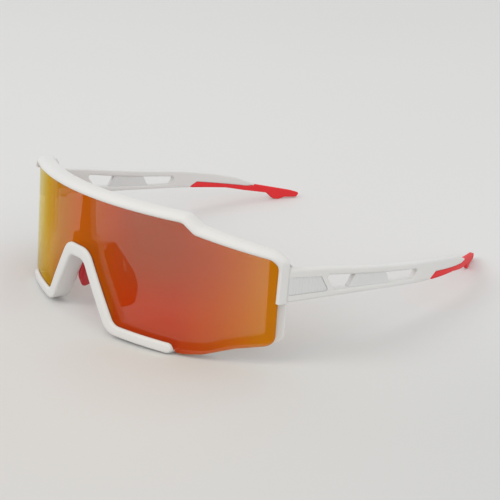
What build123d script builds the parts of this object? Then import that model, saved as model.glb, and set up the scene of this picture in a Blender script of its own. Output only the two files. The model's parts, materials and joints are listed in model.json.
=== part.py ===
from build123d import *
import math
import os

# Wraparound sport sunglasses, millimetres.
# Everything is drawn upright first: lens apex at the origin, +Y towards the ears, +Z up.
# The last step leans the assembly back onto its feet, as it lies on a table.

# ---- overall ----
LENS_RADIUS = 103.4        # front face of the cylindrical lens
LENS_THICKNESS = 2.0
LENS_HALF_WIDTH = 70.2     # half the chord, at the side edges
SIGHT_HEIGHT = 43.9        # lower edge of the brow lip above the rim's underside
LEAN_ANGLE = 6.7           # how far the front leans back when it lies on a table
TEMPLE_LENGTH = 117.0      # from the hinge joint to the tip, along the side

# ---- lens outline ----
SHOULDER_X = 44.0          # where the top edge steps down
SHOULDER_RUN = 3.8
SHOULDER_DROP = 3.1
SIDE_DROP = 7.4            # fall of the top edge from centre to side corner
LENS_CORNER_R = 3.5
SIDE_FLARE = 0.5           # the side edge leans out towards the bottom
SIDE_FOOT = 9.2            # height of the lower side corner
LENS_TUCK = 1.1            # lens hidden under the brow lip
LENS_GAP = 0.08            # all round the lens, in its seats
LENS_LOW = 0.8             # lowest point of the free lower edge
LOW_OUTER = 17.6 / 26.8    # bends of that edge, as shares of the run from the rim's end to the side
LOW_INNER = 9.1 / 26.8

# ---- lower trim: nose arch and lower rims ----
TRIM_PROUD = 1.15          # stands proud of the lens
ARCH_TOP = 25.8
ARCH_FOOT_X = 22.6         # outer edge of the leg, carried down to the underside
ARCH_LEG_ANGLE = 32.0      # from upright
ARCH_WIDTH = 4.4
ARCH_DEPTH = 6.2           # how far the arch wall reaches behind the lens face
RIM_HEIGHT = 3.5
RIM_END_X = 43.4
RIM_DEPTH = 4.4
TRIM_OVERLAP = 2.0         # trim over the lens edge
FOOT_FLAT = 0.2            # height of the small flats it stands on

# ---- main frame ----
BROW_HEIGHT = 2.6          # front face of the brow bar
BROW_PROUD = 1.5
BROW_DEPTH = 4.4           # behind the lens face
RIM_BAND = 2.7             # width of the inner rim behind the lens
RIM_THICKNESS = 2.4
POST_TOP = 4.2             # width of the centre post at the brow
POST_FOOT = 8.0            # and where it meets the saddle
SADDLE_HALF = 7.6
SADDLE_TOP = 28.6
ENDPIECE_WIDTH = 3.3
ENDPIECE_FOOT = 23.2
CORNER_R = 4.2
OVERHANG = 2.4             # corner reaches back over the temple
JOINT_RUN = 3.51785        # from the lens's side edge back to the end piece's rear face

# ---- hinge ----
HINGE_INSET = 3.0          # hinge axis inside the lens side edge
HINGE_RUN = 2.8            # hinge axis behind the joint
KNUCKLE_R = 1.8
KNUCKLE_FOOT = 24.1
KNUCKLE_HEIGHT = 2.8       # frame knuckles
TEMPLE_KNUCKLE = 2.9
KNUCKLE_GAP = 0.15
SCREW_R = 0.70
SCREW_FIT = 0.04
SCREW_HEAD_R = 1.25
SCREW_HEAD = 0.8
NUT_R = 1.4                # across corners
NUT_HEIGHT = 0.9

# ---- temples ----
TEMPLE_INSET = 0.9         # temple's outer face inside the end piece's outer face
TEMPLE_THICKNESS = 3.4
TEMPLE_GAP = 0.3           # joint gap
BEND_START = 84.0
BEND_R = 105.0
BEND_ANGLE = 28.0
TEMPLE_TOP = 33.3          # at the joint
TEMPLE_FOOT = 23.7
POCKET_DEPTH = 1.5
PANEL_THICKNESS = 1.0
PANEL_GAP = 0.1
RIB_COUNT = 9
RIB_WIDTH = 0.5
RIB_HEIGHT = 0.25
BLOCK_RECESS = 0.7         # infill block between the two windows, below both faces
BLOCK_GAP = 0.08

# ---- ear sleeve ----
SLEEVE_START = 69.0        # from the joint
SHOULDER_AT = 98.0         # where the sleeve covers the whole height
CORE_THICKNESS = 1.6
SLEEVE_GAP = 0.05

# ---- nose piece ----
CARRIER_HALF = 6.2
CARRIER_DEPTH = 2.4
CARRIER_SEAT = 0.25        # the saddle is curved, the clip is flat
CARRIER_FOOT = 24.3
PEG_R = 0.9
PEG_FIT = 0.04
WIRE_R = 0.5
WIRE_FIT = 0.05
WIRE_X = 4.2
PAD_LENGTH = 21.5
PAD_WIDTH = 8.4
PAD_THICKNESS = 2.4
PAD_CENTRE = (10.6, 12.3, 16.6)

END_X = LENS_HALF_WIDTH + ENDPIECE_WIDTH
SIDE_Y = LENS_RADIUS - math.sqrt(LENS_RADIUS ** 2 - LENS_HALF_WIDTH ** 2)
JOINT_Y = SIDE_Y + JOINT_RUN
HINGE_Y = JOINT_Y + HINGE_RUN
WEB_Y = HINGE_Y - 0.8
TEMPLE_X = END_X - TEMPLE_INSET
TEMPLE_Y = JOINT_Y + TEMPLE_GAP
HINGE_X = LENS_HALF_WIDTH - HINGE_INSET
LENS_BACK = LENS_RADIUS - LENS_THICKNESS
TAN_LEG = math.tan(math.radians(ARCH_LEG_ANGLE))
COS_LEG = math.cos(math.radians(ARCH_LEG_ANGLE))


def rounded(points):
    """Closed outline through (u, v, r) corners, each rounded to its radius r."""
    n = len(points)
    ends = []
    for i in range(n):
        p = Vector(points[i][0], points[i][1])
        a = (Vector(points[i - 1][0], points[i - 1][1]) - p).normalized()
        b = (Vector(points[(i + 1) % n][0], points[(i + 1) % n][1]) - p).normalized()
        r = points[i][2]
        half = math.acos(max(-1.0, min(1.0, a.dot(b)))) / 2
        if r <= 0 or half > math.pi / 2 - 0.01:
            ends.append((p, None, p))
            continue
        reach = r / math.tan(half)
        mid = p + (a + b).normalized() * (r / math.sin(half) - r)
        ends.append((p + a * reach, mid, p + b * reach))
    edges = []
    for i in range(n):
        start, mid, stop = ends[i]
        if mid is not None:
            edges.append(ThreePointArc(start, mid, stop))
        nxt = ends[(i + 1) % n][0]
        if (nxt - stop).length > 1e-4:
            edges.append(Line(stop, nxt))
    return make_face(edges)


def mirrored(half):
    """Full outline from its right half, listed from top centre to bottom centre."""
    left = [(-x, z, r) for x, z, r in reversed(half) if x > 0]
    return half + left


def from_front(face, y0=-20.0, y1=60.0):
    """Solid that has this outline when it is seen from the front."""
    return Pos(0, y1, 0) * extrude(Plane.XZ * face, amount=y1 - y0)


def from_side(face, x0, x1):
    """Solid that has this outline when it is seen from the side."""
    return Pos(x0, 0, 0) * extrude(Plane.YZ * face, amount=x1 - x0)


def shell(outer, inner):
    """Part of an upright tube about the lens axis, on the wearer's front side."""
    tube = Cylinder(outer, 120) - Cylinder(inner, 140)
    tube = Pos(0, LENS_RADIUS, 0) * tube
    return tube & Pos(0, -20, 0) * Box(260, 130, 130)


def box(x0, x1, y0, y1, z0, z1):
    """Box between two corners."""
    size = (x1 - x0, y1 - y0, z1 - z0)
    return Pos((x0 + x1) / 2, (y0 + y1) / 2, (z0 + z1) / 2) * Box(*size)


def rod(x, y, z0, z1, r):
    """Upright rod."""
    return Pos(x, y, (z0 + z1) / 2) * Cylinder(r, z1 - z0)


def both(right):
    """A piece and its mirror image."""
    return right + mirror(right, about=Plane.YZ)


# ---- outlines seen from the front ----

def top_edge(rise, grow=0.0):
    """Stepped top line from the centre to the side corner, raised by rise."""
    z = SIGHT_HEIGHT + rise
    side = LENS_HALF_WIDTH + grow
    return [
        (0, z, 0),
        (SHOULDER_X + rise * 0.35, z, 3.0),
        (SHOULDER_X + SHOULDER_RUN + rise * 0.35, z - SHOULDER_DROP, 3.0),
        (side, z - SIDE_DROP, LENS_CORNER_R),
    ]


def leg(inset, z):
    """Half width of the nose arch at height z, inset from its lens side."""
    return ARCH_FOOT_X - inset / COS_LEG - z * TAN_LEG


def low_x(share):
    """Half width at a share of the run from the rim's end to the side edge."""
    return RIM_END_X + (LENS_HALF_WIDTH - RIM_END_X) * share


def lens_outline(grow=0.0):
    """Whole lens: tucked top edge, free sides, nose cut-out and relief for the rims."""
    top = top_edge(LENS_TUCK + grow, grow)
    cut = TRIM_OVERLAP - grow
    low = RIM_HEIGHT - cut - grow * 2
    roof = ARCH_TOP - TRIM_OVERLAP - grow
    return mirrored(top + [
        (LENS_HALF_WIDTH + SIDE_FLARE + grow, SIDE_FOOT - grow, LENS_CORNER_R),
        (low_x(LOW_OUTER), 6.2 - grow, 6.0),
        (low_x(LOW_INNER), 2.2 - grow, 6.0),
        (RIM_END_X + 3.0, LENS_LOW - grow, 3.0),
        (RIM_END_X + 0.4 - grow, LENS_LOW - grow, 0.0),
        (RIM_END_X + 0.4 - grow, low, 0.0),
        (leg(cut, low), low, 0.6),
        (leg(cut, roof), roof, 4.5),
        (0, roof, 0),
    ])


def arch_outline(outer, inner, floor=0.0):
    """Nose arch between two insets from its lens side."""
    roof, soffit = ARCH_TOP - outer, ARCH_TOP - inner
    return mirrored([
        (0, roof, 0),
        (leg(outer, roof), roof, 6.0 - outer * 0.5),
        (leg(outer, floor), floor, 0),
        (leg(inner, floor), floor, 0),
        (leg(inner, soffit), soffit, 6.0 - inner * 0.5),
        (0, soffit, 0),
    ])


def trim_outline():
    """Front layer of the trim: arch and both lower rims in one band."""
    soffit = ARCH_TOP - ARCH_WIDTH
    return mirrored([
        (0, ARCH_TOP, 0),
        (leg(0, ARCH_TOP), ARCH_TOP, 6.0),
        (leg(0, RIM_HEIGHT), RIM_HEIGHT, 2.4),
        (RIM_END_X, RIM_HEIGHT, 1.7),
        (RIM_END_X, 0.0, 1.6),
        (leg(ARCH_WIDTH, 0.0), 0.0, 3.0),
        (leg(ARCH_WIDTH, soffit), soffit, 3.6),
        (0, soffit, 0),
    ])


# ---- front pieces ----

def make_lens():
    body = shell(LENS_RADIUS, LENS_BACK)
    return body & from_front(rounded(lens_outline()))


def make_trim():
    front = shell(LENS_RADIUS + TRIM_PROUD, LENS_RADIUS + LENS_GAP)
    body = front & from_front(rounded(trim_outline()))
    wall = shell(LENS_RADIUS + TRIM_PROUD, LENS_RADIUS - ARCH_DEPTH)
    clear = TRIM_OVERLAP + LENS_GAP * 2
    body += wall & from_front(rounded(arch_outline(clear, ARCH_WIDTH)))
    shelf = shell(LENS_RADIUS + TRIM_PROUD, LENS_RADIUS - RIM_DEPTH)
    top = RIM_HEIGHT - TRIM_OVERLAP - LENS_GAP * 3
    body += shelf & both(from_front(rounded([
        (leg(ARCH_WIDTH, top), top, 0),
        (RIM_END_X, top, 0),
        (RIM_END_X, 0, 1.0),
        (leg(ARCH_WIDTH, 0) + 0.6, 0, 0),
    ])))
    return body - table()


def table():
    """Everything below the standing plane."""
    return Rot(X=LEAN_ANGLE) * Pos(0, 0, FOOT_Z - 10) * Box(400, 400, 20)


def foot_level():
    """Height of the standing plane, measured square to it."""
    back = LENS_RADIUS - math.sqrt((LENS_RADIUS - RIM_DEPTH) ** 2 - (RIM_END_X - 1.5) ** 2)
    return -back * math.sin(math.radians(LEAN_ANGLE)) + FOOT_FLAT


FOOT_Z = foot_level()


def brow_outline():
    """Brow bar and side drops, down to the lip that covers the lens top."""
    lip = top_edge(0.0, LENS_GAP)
    z = SIGHT_HEIGHT + BROW_HEIGHT
    return mirrored([
        (0, z, 0),
        (SHOULDER_X + 2.6, z, 4.0),
        (SHOULDER_X + SHOULDER_RUN + 4.0, z - SHOULDER_DROP, 6.0),
        (END_X, z - SIDE_DROP + 0.7, CORNER_R),
        (END_X, ENDPIECE_FOOT, 0.8),
        (LENS_HALF_WIDTH + 2 * LENS_GAP + SIDE_FLARE / 2, ENDPIECE_FOOT, 0.4),
        (lip[3][0] + LENS_GAP, lip[3][1], LENS_CORNER_R),
        (lip[2][0], lip[2][1], 3.0),
        (lip[1][0], lip[1][1], 3.0),
        (0, lip[0][1], 0),
    ])


def eye_opening():
    """Clear opening of the inner rim, on the right."""
    roof = SIGHT_HEIGHT - 0.8
    side = LENS_HALF_WIDTH - RIM_BAND
    floor = RIM_HEIGHT - TRIM_OVERLAP + RIM_BAND
    return rounded([
        (POST_TOP / 2, roof, 2.0),
        (SHOULDER_X, roof, 3.0),
        (SHOULDER_X + SHOULDER_RUN, roof - SHOULDER_DROP, 3.0),
        (side, roof - SIDE_DROP + 1.6, 3.0),
        (side + SIDE_FLARE, SIDE_FOOT + RIM_BAND, 3.0),
        (low_x(LOW_OUTER) - 1.0, 6.2 + RIM_BAND, 6.0),
        (low_x(LOW_INNER) - 1.0, 2.2 + RIM_BAND + 0.3, 6.0),
        (RIM_END_X, floor - 0.1, 3.0),
        (leg(-0.7, floor), floor, 2.0),
        (leg(-0.7, SADDLE_TOP - 5.0), SADDLE_TOP - 5.0, 1.0),
        (SADDLE_HALF, SADDLE_TOP, 1.5),
        (POST_FOOT / 2, SADDLE_TOP, 1.5),
    ])


def frame_outline():
    """Outer boundary of the inner rim: the lens outline, with a narrower nose cut."""
    top = top_edge(LENS_TUCK, 0.0)
    low = RIM_HEIGHT - TRIM_OVERLAP
    cut = TRIM_OVERLAP - LENS_GAP * 2
    roof = ARCH_TOP - cut
    return mirrored(top + [
        (LENS_HALF_WIDTH + SIDE_FLARE, SIDE_FOOT, LENS_CORNER_R),
        (low_x(LOW_OUTER), 6.2, 6.0),
        (low_x(LOW_INNER), 2.2, 6.0),
        (RIM_END_X + 3.0, low, 3.0),
        (leg(cut, low), low, 0.6),
        (leg(cut, roof), roof, 4.5),
        (0, roof, 0),
    ])


def hinge_knuckle(z0, z1, lug_x=0.0):
    """One frame knuckle and the web that carries it on the hinge block."""
    body = rod(HINGE_X, HINGE_Y, z0, z1, KNUCKLE_R)
    body += box(HINGE_X - KNUCKLE_R, HINGE_X + 1.0, JOINT_Y - 2.0, HINGE_Y, z0, z1)
    return body


def make_frame():
    back = LENS_BACK - LENS_GAP
    inner = shell(back, back - RIM_THICKNESS)
    rim = inner & from_front(rounded(frame_outline()))
    rim -= both(from_front(eye_opening()))
    brow = shell(LENS_RADIUS + BROW_PROUD, LENS_RADIUS - BROW_DEPTH)
    brow &= from_front(rounded(brow_outline()))
    reach = LENS_RADIUS - BROW_DEPTH - 4.0
    corner = shell(LENS_RADIUS + BROW_PROUD, reach) & from_front(rounded(brow_outline()))
    corner &= both(box(LENS_HALF_WIDTH - 6.0, END_X, 0, JOINT_Y + OVERHANG, 0, 60))
    block = shell(back, reach) & both(box(
        LENS_HALF_WIDTH - RIM_BAND, END_X, 0, JOINT_Y, ENDPIECE_FOOT, SIGHT_HEIGHT - SIDE_DROP))
    body = rim + brow + corner + block
    room = box(LENS_HALF_WIDTH - 0.9, END_X + 1, JOINT_Y, 60, 0, TEMPLE_TOP + 0.4)
    body -= both(room)
    swing = box(HINGE_X, END_X + 1, WEB_Y - KNUCKLE_GAP, 60, 0, TEMPLE_TOP + 0.4)
    body -= both(swing + rod(HINGE_X, HINGE_Y, 0, TEMPLE_TOP + 0.4, KNUCKLE_R + KNUCKLE_GAP))
    slot = shell(LENS_RADIUS + LENS_GAP, back)
    body -= slot & from_front(rounded(lens_outline(LENS_GAP)))
    lower = KNUCKLE_FOOT + KNUCKLE_HEIGHT
    upper = lower + TEMPLE_KNUCKLE + 2 * KNUCKLE_GAP
    body += both(hinge_knuckle(KNUCKLE_FOOT, lower))
    body += both(hinge_knuckle(upper, upper + KNUCKLE_HEIGHT))
    bore = rod(HINGE_X, HINGE_Y, KNUCKLE_FOOT - 1, upper + KNUCKLE_HEIGHT + 1, SCREW_R + SCREW_FIT)
    body -= both(bore)
    peg = Pos(0, 4.0, PEG_Z) * Rot(X=90) * Cylinder(PEG_R + PEG_FIT, 12)
    return body - peg


PEG_Z = 26.2


# ---- hinge hardware ----

def make_screws():
    """Both hinge screws, head up, with a cross slot."""
    top = KNUCKLE_FOOT + 2 * KNUCKLE_HEIGHT + TEMPLE_KNUCKLE + 2 * KNUCKLE_GAP
    body = rod(HINGE_X, HINGE_Y, KNUCKLE_FOOT - NUT_HEIGHT, top, SCREW_R)
    head = rod(HINGE_X, HINGE_Y, top, top + SCREW_HEAD, SCREW_HEAD_R)
    head = fillet(head.edges().group_by(Axis.Z)[-1], 0.25)
    slot = Pos(HINGE_X, HINGE_Y, top + SCREW_HEAD) * (Box(1.7, 0.35, 0.8) + Box(0.35, 1.7, 0.8))
    return both(body + head - slot)


def make_nuts():
    """Both hinge nuts, six-sided, under the lower knuckles."""
    flat = RegularPolygon(NUT_R, 6) - Circle(SCREW_R + 0.02)
    nut = Pos(HINGE_X, HINGE_Y, KNUCKLE_FOOT - NUT_HEIGHT) * extrude(flat, amount=NUT_HEIGHT)
    return both(nut)


# ---- temples ----

def side_curve(offset):
    """Corner points of the temple's plan curve, offset inwards from its outer face."""
    a = math.radians(BEND_ANGLE)
    centre = TEMPLE_X - BEND_R
    r = BEND_R - offset
    start = (TEMPLE_X - offset, BEND_START)
    mid = (centre + r * math.cos(a / 2), BEND_START + r * math.sin(a / 2))
    stop = (centre + r * math.cos(a), BEND_START + r * math.sin(a))
    run = 45.0
    end = (stop[0] - run * math.sin(a), stop[1] + run * math.cos(a))
    return start, mid, stop, end


def band(outer, inner):
    """Upright wall that follows the temple's plan, between two offsets."""
    s0, m0, e0, t0 = side_curve(outer)
    s1, m1, e1, t1 = side_curve(inner)
    edges = [
        Line((TEMPLE_X - outer, 20.0), s0), ThreePointArc(s0, m0, e0), Line(e0, t0),
        Line(t0, t1), Line(t1, e1), ThreePointArc(e1, m1, s1),
        Line(s1, (TEMPLE_X - inner, 20.0)),
        Line((TEMPLE_X - inner, 20.0), (TEMPLE_X - outer, 20.0)),
    ]
    return extrude(make_face(edges), amount=70)


def at(distance):
    """Distance along the side from the joint, as a Y value."""
    return TEMPLE_Y + distance


TIP = TEMPLE_LENGTH
SPAN = TEMPLE_LENGTH - SHOULDER_AT      # paddle length


def bump_level(distance):
    """Height at which the sleeve's heel meets the standing plane."""
    a = math.radians(LEAN_ANGLE)
    return (FOOT_Z + at(distance) * math.sin(a)) / math.cos(a)


def sleeve_outline():
    """Red sleeve seen from the side: strip, shoulder, paddle and heel."""
    heel = SHOULDER_AT + SPAN * 0.47
    low = bump_level(heel)
    return [
        (at(SLEEVE_START), 20.5, 0.4),
        (at(SLEEVE_START + 3.4), 22.7, 0.8),
        (at(SHOULDER_AT - 4.0), 21.1, 3.0),
        (at(SHOULDER_AT), 22.2, 1.5),
        (at(TIP - 3.0), 19.6, 2.0),
        (at(TIP), 18.4, 1.0),
        (at(TIP - 0.6), 16.9, 0.9),
        (at(heel + 3.2), 16.2, 2.0),
        (at(heel + 0.8), low, 1.2),
        (at(heel - 1.4), low + 0.2, 1.2),
        (at(heel - 4.0), 17.6, 2.0),
        (at(SHOULDER_AT - 5.0), 18.6, 8.0),
        (at(SLEEVE_START + 16.0), 19.8, 20.0),
    ]


def top_line():
    """Temple's top edge, from the joint to the sleeve's shoulder."""
    return [(0.0, TEMPLE_TOP), (15.0, 31.9), (29.0, 30.2), (45.0, 28.8), (64.0, 27.6), (77.0, 26.4),
            (SHOULDER_AT - 9.0, 24.5)]


def temple_outline():
    """White body seen from the side, with the core that runs into the sleeve."""
    top = [(at(d), z, 0 if d == 0.0 else 12.0) for d, z in top_line()]
    return [(u, v, 8.0 if r else 1.2) for u, v, r in top] + [
        (at(SHOULDER_AT + 0.2), 22.1, 0.3),
        (at(SHOULDER_AT - 1.0), 20.4, 0),
        (at(SLEEVE_START + 16.0), 20.4, 8.0),
        (at(SLEEVE_START - 0.5), 20.7, 4.0),
        (at(44.0), 21.9, 20.0),
        (at(0.0), TEMPLE_FOOT, 1.0),
    ]


def core_outline(grow=0.0):
    """Flat core inside the sleeve."""
    return [
        (at(SLEEVE_START + 1.8) - grow, 22.3 + grow, 0),
        (at(SHOULDER_AT - 4.0), 22.3 + grow, 0),
        (at(TIP - 6.0) + grow, 19.4 + grow, 1.0),
        (at(TIP - 6.0) + grow, 18.3 - grow, 0.4),
        (at(SHOULDER_AT), 19.5 - grow, 4.0),
        (at(SLEEVE_START + 16.0), 20.8 - grow, 8.0),
        (at(SLEEVE_START + 1.8) - grow, 21.4 - grow, 0),
    ]


def window_front():
    """First through-window."""
    return [(at(14.4), 30.3, 0.5), (at(28.3), 28.6, 0.5), (at(25.6), 24.4, 0.7), (at(18.7), 24.8, 0.7)]


def window_rear():
    """Second through-window."""
    return [(at(42.8), 27.1, 0.5), (at(59.2), 25.9, 0.5), (at(57.0), 22.9, 0.7), (at(45.3), 23.2, 0.7)]


def block_outline(inset=0.0):
    """Infill block between the windows, from rail to rail."""
    return [
        (at(28.3) + inset, 28.6 - inset, 0.2),
        (at(42.8) - inset, 27.1 - inset, 0.2),
        (at(45.3) - inset, 23.2 + inset, 0.2),
        (at(25.6) + inset, 24.4 + inset, 0.2),
    ]


def pocket_outline(inset=0.0):
    """Blind pocket behind the joint, on the outer side."""
    return [
        (at(1.0) + inset, 31.7 - inset, 0.6),
        (at(12.2) - inset * 0.6, 30.3 - inset, 0.6),
        (at(16.0) - inset * 1.4, 24.9 + inset, 0.6),
        (at(1.0) + inset, 25.7 + inset, 0.6),
    ]


def cut_through(face):
    return from_side(face, 20, 90)


def make_temple():
    wall = band(0, TEMPLE_THICKNESS)
    body = wall & cut_through(rounded(temple_outline()))
    body -= cut_through(rounded(window_front()))
    body -= cut_through(rounded(window_rear()))
    body -= band(-1, POCKET_DEPTH) & cut_through(rounded(pocket_outline()))
    body -= cut_through(rounded(block_outline()))
    body -= cut_through(rounded(sleeve_outline()))
    front = (TEMPLE_THICKNESS - CORE_THICKNESS) / 2
    core = band(front, front + CORE_THICKNESS) & cut_through(rounded(core_outline()))
    body += core
    body -= box(40, HINGE_X + KNUCKLE_R + 0.5, 0, at(3.5), 0, 60)
    z0 = KNUCKLE_FOOT + KNUCKLE_HEIGHT + KNUCKLE_GAP
    z1 = z0 + TEMPLE_KNUCKLE
    knuckle = rod(HINGE_X, HINGE_Y, z0, z1, KNUCKLE_R)
    knuckle += box(HINGE_X, TEMPLE_X - POCKET_DEPTH - 0.4, WEB_Y, WEB_Y + 3.2, z0, z1)
    knuckle &= band(-1, 8)
    body += knuckle
    return body - rod(HINGE_X, HINGE_Y, z0 - 5, z1 + 5, SCREW_R + SCREW_FIT)


def make_panel():
    """Ribbed insert that lies in the pocket."""
    back = POCKET_DEPTH - PANEL_GAP / 2
    plate = band(back - PANEL_THICKNESS, back) & cut_through(rounded(pocket_outline(PANEL_GAP)))
    crest = back - PANEL_THICKNESS - RIB_HEIGHT
    pitch = 12.6 / RIB_COUNT
    ribs = None
    for i in range(RIB_COUNT):
        y = at(1.0) + PANEL_GAP + pitch * (i + 0.5)
        rib = box(40, 90, y - RIB_WIDTH / 2, y + RIB_WIDTH / 2, 20, 40)
        ribs = rib if ribs is None else ribs + rib
    raised = band(crest, back) & ribs & cut_through(rounded(pocket_outline(PANEL_GAP + 0.3)))
    return plate + raised


def make_block():
    """Infill block pressed in between the rails; its ends slope like the windows."""
    wall = band(BLOCK_RECESS, TEMPLE_THICKNESS - BLOCK_RECESS)
    return wall & cut_through(rounded(block_outline(BLOCK_GAP)))


def make_sleeve():
    body = band(0, TEMPLE_THICKNESS) & cut_through(rounded(sleeve_outline()))
    front = (TEMPLE_THICKNESS - CORE_THICKNESS) / 2 - SLEEVE_GAP
    hollow = band(front, front + CORE_THICKNESS + 2 * SLEEVE_GAP)
    body -= hollow & cut_through(rounded(core_outline(SLEEVE_GAP)))
    return body - table()


# ---- nose piece ----

def saddle_back():
    """Rear face of the saddle at the centre."""
    return LENS_THICKNESS + LENS_GAP + RIM_THICKNESS


def wire_path():
    """Route of the bendable wire from the carrier into the pad."""
    back = saddle_back() + CARRIER_SEAT + CARRIER_DEPTH
    x, y, z = PAD_CENTRE
    return FilletPolyline(
        (WIRE_X, back - 1.9, PEG_Z), (WIRE_X, y - 1.6, PEG_Z),
        (x - 3.6, y - 0.1, PEG_Z - 2.4), (x - 0.2, y, z + 1.0), radius=1.2)


def wire(r):
    path = wire_path()
    start = Plane(origin=path @ 0, z_dir=path % 0)
    return sweep(start * Circle(r), path=path)


def make_carrier():
    """Moulded clip on the saddle; its peg snaps into the saddle's hole."""
    y0 = saddle_back() + CARRIER_SEAT
    face = rounded([
        (-CARRIER_HALF, PEG_Z + 1.6, 1.4), (CARRIER_HALF, PEG_Z + 1.6, 1.4),
        (CARRIER_HALF, CARRIER_FOOT, 1.2), (-CARRIER_HALF, CARRIER_FOOT, 1.2)])
    body = from_front(face, y0, y0 + CARRIER_DEPTH)
    peg = Pos(0, y0 - 0.9, PEG_Z) * Rot(X=90) * Cylinder(PEG_R, 2.2)
    body += peg
    return body - both(wire(WIRE_R + WIRE_FIT))


def pad_plane():
    """Plane of the right pad: along its length, and square to its face."""
    along = Vector(7.5, 0, -20.5).normalized()
    across = Vector(0.25, 0.96, 0.09)
    return Plane(origin=PAD_CENTRE, x_dir=along, z_dir=along.cross(across))


def make_pad():
    """Drop-shaped pad, rounder at its lower end."""
    half, w = PAD_LENGTH / 2, PAD_WIDTH / 2
    face = rounded([
        (-half, -w * 0.55, w * 0.45), (half * 0.1, -w, w * 1.2), (half, -w * 0.9, w * 0.85),
        (half, w, w * 0.95), (-half * 0.2, w, w * 1.2), (-half, w * 0.5, w * 0.45)])
    body = extrude(face, amount=PAD_THICKNESS / 2, both=True)
    body = fillet(body.edges().filter_by(Plane.XY), PAD_THICKNESS * 0.36)
    return pad_plane() * body - wire(WIRE_R + WIRE_FIT)


def build():
    """All pieces in their upright place, by name."""
    temple, panel, block, sleeve = make_temple(), make_panel(), make_block(), make_sleeve()
    pad, core = make_pad(), wire(WIRE_R)
    flip = Plane.YZ
    return {
        "main_frame": make_frame(),
        "lens": make_lens(),
        "lower_trim": make_trim(),
        "nose_carrier": make_carrier(),
        "nose_wire_left": core,
        "nose_wire_right": mirror(core, about=flip),
        "nose_pad_left": pad,
        "nose_pad_right": mirror(pad, about=flip),
        "hinge_screws": make_screws(),
        "hinge_nuts": make_nuts(),
        "temple_left": temple,
        "temple_right": mirror(temple, about=flip),
        "temple_panel_left": panel,
        "temple_panel_right": mirror(panel, about=flip),
        "temple_block_left": block,
        "temple_block_right": mirror(block, about=flip),
        "ear_sleeve_left": sleeve,
        "ear_sleeve_right": mirror(sleeve, about=flip),
    }


def main():
    """Lean the pieces back, stand them on Z = 0 and centre them on the origin."""
    os.makedirs("parts", exist_ok=True)
    leaned = {name: Rot(X=-LEAN_ANGLE) * piece for name, piece in build().items()}
    boxes = [piece.bounding_box() for piece in leaned.values()]
    back = max(b.max.Y for b in boxes)
    front = min(b.min.Y for b in boxes)
    move = Pos(0, -(back + front) / 2, -FOOT_Z)
    print("moved by", 0.0, -(back + front) / 2, -FOOT_Z)
    print("lowest point", min(b.min.Z for b in boxes) - FOOT_Z)
    for name, piece in leaned.items():
        export_step(move * piece, f"parts/{name}.step")


main()
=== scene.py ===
import json
import math

import bmesh
import bpy
import numpy as np
from bpy.props import FloatProperty, FloatVectorProperty, PointerProperty
from mathutils import Matrix, Vector


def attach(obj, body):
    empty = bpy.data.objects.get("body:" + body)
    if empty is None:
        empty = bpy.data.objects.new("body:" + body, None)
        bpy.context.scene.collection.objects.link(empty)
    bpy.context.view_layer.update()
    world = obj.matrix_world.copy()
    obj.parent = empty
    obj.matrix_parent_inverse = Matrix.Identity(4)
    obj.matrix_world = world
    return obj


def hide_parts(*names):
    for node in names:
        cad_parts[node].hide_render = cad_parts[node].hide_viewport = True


bl_info = {
    "name": "Sport sunglasses",
    "version": (1, 0, 0),
    "blender": (4, 5, 0),
    "location": "3D View > Sidebar > Sunglasses",
    "description": "Looks of a pair of wraparound sport sunglasses around its fixed frame",
    "category": "Object",
}

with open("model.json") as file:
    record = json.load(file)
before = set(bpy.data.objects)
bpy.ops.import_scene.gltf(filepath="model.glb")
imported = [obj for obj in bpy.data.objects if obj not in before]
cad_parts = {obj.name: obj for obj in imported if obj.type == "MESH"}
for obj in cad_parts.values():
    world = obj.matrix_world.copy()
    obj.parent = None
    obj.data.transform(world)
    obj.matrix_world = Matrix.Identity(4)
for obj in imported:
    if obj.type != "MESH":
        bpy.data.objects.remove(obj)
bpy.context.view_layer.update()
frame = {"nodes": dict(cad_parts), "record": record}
JOINTS = {joint["name"]: joint for joint in frame["record"]["behaviour"]["joints"]}
BODY_OF = {
    node: body
    for body, nodes in frame["record"]["behaviour"]["bodies"].items()
    for node in nodes
}
SIDES = (("left", 1), ("right", -1))

# Fixed sizes in millimetres, drawn upright.
HINGE_INSET = 3.0              # hinge pin inside the lens's side edge
HINGE_DEPTH = 33.8             # hinge pin behind the lens's front
HINGE_HEIGHT = 28.3
KNUCKLE_RADIUS = 1.8
KNUCKLE_BORE = 0.74
KNUCKLE_EDGE = 0.2             # bevel at a knuckle's ends
FIXED_KNUCKLES = (24.1, 30.1)  # lower ends of the knuckles on the front
FIXED_KNUCKLE_HEIGHT = 2.8
MOVING_KNUCKLE = (27.05, 29.95)
SIDE_START = 31.3              # depth from which the temple's side view is measured
SLEEVE_RUN = 19.0              # temple behind its rear shoulder
ARCH_SLOPE = 32.0              # degrees between a leg of the nose arch and upright
RIM_DEPTH = 4.4                # lower rims behind the lens face
RIM_RELIEF = 2.0               # lens and rear rim reach this far under the trim
BROW_STEPS = (26, 10, 6, 8, 20, 14, 12)  # samples of each straight and corner
TRIM_STEPS = (8, 14, 30, 12, 30)


# ---------------------------------------------------------------- settings

def size(name, text, millimetres):
    """Length setting, kept in metres."""
    return FloatProperty(name=name, description=text, default=millimetres / 1000,
                         unit="LENGTH", precision=5)


def colour(name, text, value):
    """Colour setting."""
    return FloatVectorProperty(name=name, description=text, default=value,
                               subtype="COLOR", size=3, min=0, max=1)


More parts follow.
